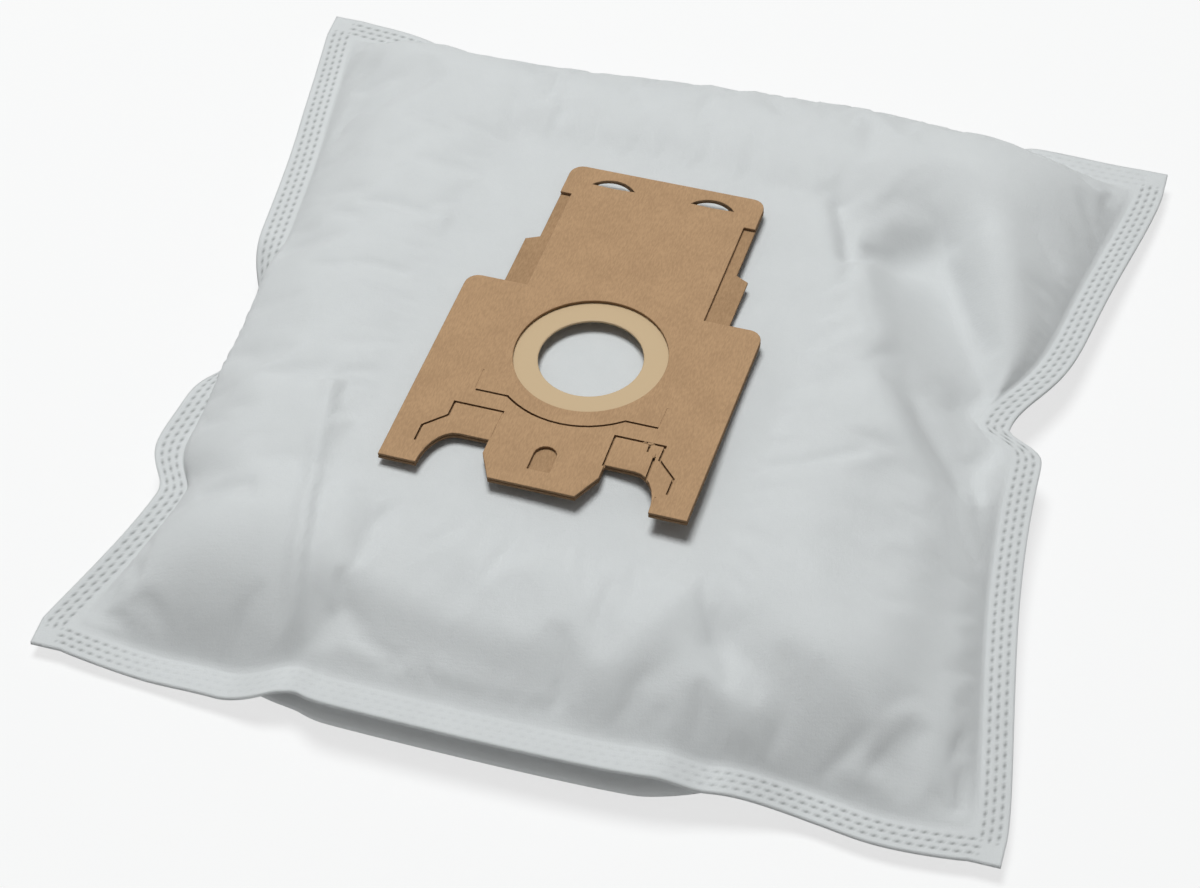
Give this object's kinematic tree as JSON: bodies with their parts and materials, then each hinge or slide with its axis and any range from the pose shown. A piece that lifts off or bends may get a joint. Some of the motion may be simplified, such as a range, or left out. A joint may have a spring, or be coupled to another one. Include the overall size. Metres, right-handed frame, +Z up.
{
  "type": "vacuum cleaner dust bag",
  "caption": "Puffed square dust bag of white fleece with welded edges, and a folding-tab cardboard collar with a seal ring around its inlet hole.",
  "frame": {"origin": "on the surface that the bag lies on, below the middle of its overall box", "axes": "+Z up through the inlet side; +Y towards the collar's narrow end; +X to the right seen from the front"},
  "size_m": [0.3096, 0.3088, 0.0454],
  "materials": {
    "fleece": "white non-woven fleece, matte, with rows of weld dots along its edges",
    "board": "brown-grey kraft cardboard, uncoated, matte",
    "back_board": "brown kraft cardboard, uncoated, matte",
    "seal": "smooth cream rubber, satin",
    "glue": "translucent hot-melt glue"
  },
  "bodies": {
    "root": {"lower_sheet": "fleece", "upper_sheet": "fleece", "glue_ring": "glue", "back_board": "back_board", "seal_ring": "seal", "front_board": "board"}
  },
  "joints": []
}
